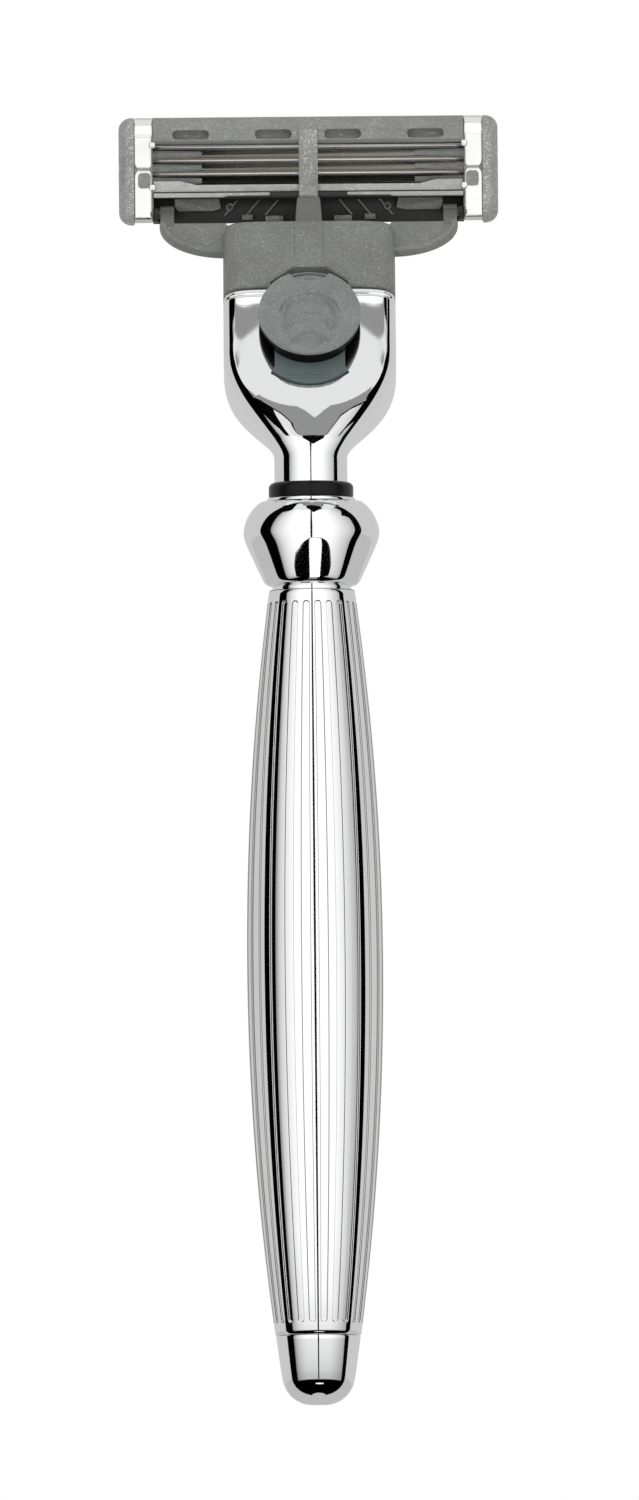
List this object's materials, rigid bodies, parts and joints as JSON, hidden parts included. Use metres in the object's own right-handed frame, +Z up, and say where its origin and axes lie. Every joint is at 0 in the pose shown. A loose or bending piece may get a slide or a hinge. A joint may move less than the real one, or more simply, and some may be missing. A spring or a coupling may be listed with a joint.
{
  "type": "cartridge razor",
  "caption": "Wet-shaving razor: a fluted chrome handle with a release button in its flared head, and a spring-loaded pivoting blade cartridge that docks on it.",
  "frame": {"origin": "on the handle's axis at the middle of the neck between knop and head, where a stand's fork holds the razor", "axes": "+Z up the handle from the end cap to the blade unit, +Y towards the shaving side, -Y is the button side, X across the cartridge"},
  "size_m": [0.042, 0.0352, 0.1438],
  "materials": {
    "chrome": "bright chrome plating on cast metal",
    "black_rubber": "matte black rubber",
    "black_plastic": "black moulded plastic",
    "satin_grey": "grey moulded plastic with fine metallic flake, satin",
    "sparkle_grey": "light grey moulded plastic with coarse metallic flake",
    "slider_grey": "grey-green moulded plastic",
    "steel": "ground stainless steel",
    "clip_metal": "bright rolled aluminium",
    "strip": "pale green lubricating polymer",
    "fin_rubber": "dark soft elastomer"
  },
  "bodies": {
    "handle": {"grip_barrel": "chrome", "end_cap": "chrome", "collar_knop": "chrome", "seal_ring": "black_rubber", "head_shell": "chrome", "head_stud": "steel", "mechanism_insert": "black_plastic", "plunger_spring": "steel"},
    "plunger": {"plunger": "black_plastic"},
    "button": {"release_button": "satin_grey", "ejector_slide": "slider_grey"},
    "connector": {"connector_yoke": "satin_grey"},
    "blade_unit": {"blade_housing": "sparkle_grey", "lubricating_strip": "strip", "guard_fins": "fin_rubber", "clip_left": "clip_metal", "clip_right": "clip_metal"},
    "floating_blade_1": {"blade_support_1": "steel", "blade_1": "steel"},
    "floating_blade_2": {"blade_support_2": "steel", "blade_2": "steel"},
    "floating_blade_3": {"blade_support_3": "steel", "blade_3": "steel"}
  },
  "joints": [
    {"name": "cartridge_release", "type": "slide", "parent": "handle", "child": "connector", "axis": [0, 0.6157, 0.788], "range_m": [0, 0.014]},
    {"name": "cartridge_pivot", "type": "hinge", "parent": "connector", "child": "blade_unit", "pos_m": [0, 0.02508, 0.03041], "axis": [1, 0, 0], "range_deg": [0, 45], "stiffness_Nm_per_rad": 0.012, "springref_deg": -14.32},
    {"name": "plunger_slide", "type": "slide", "parent": "handle", "child": "plunger", "axis": [0, -0.6157, -0.788], "range_m": [0, 0.00182], "deforming": ["plunger_spring"]},
    {"name": "button_slide", "type": "slide", "parent": "handle", "child": "button", "axis": [0, 0.6157, 0.788], "range_m": [0, 0.003], "stiffness_N_per_m": 350, "springref_m": -0.001, "deforming": ["plunger_spring"]},
    {"name": "blade_float_1", "type": "slide", "parent": "blade_unit", "child": "floating_blade_1", "axis": [0, -1, 0], "range_m": [0, 0.00025], "stiffness_N_per_m": 300, "springref_m": -0.0002},
    {"name": "blade_float_2", "type": "slide", "parent": "blade_unit", "child": "floating_blade_2", "axis": [0, -1, 0], "range_m": [0, 0.00025], "stiffness_N_per_m": 300, "springref_m": -0.0002},
    {"name": "blade_float_3", "type": "slide", "parent": "blade_unit", "child": "floating_blade_3", "axis": [0, -1, 0], "range_m": [0, 0.00025], "stiffness_N_per_m": 300, "springref_m": -0.0002}
  ],
  "couplings": [
    {"joint": "plunger_slide", "follows": "cartridge_pivot", "m_per_rad": 0.0023}
  ]
}
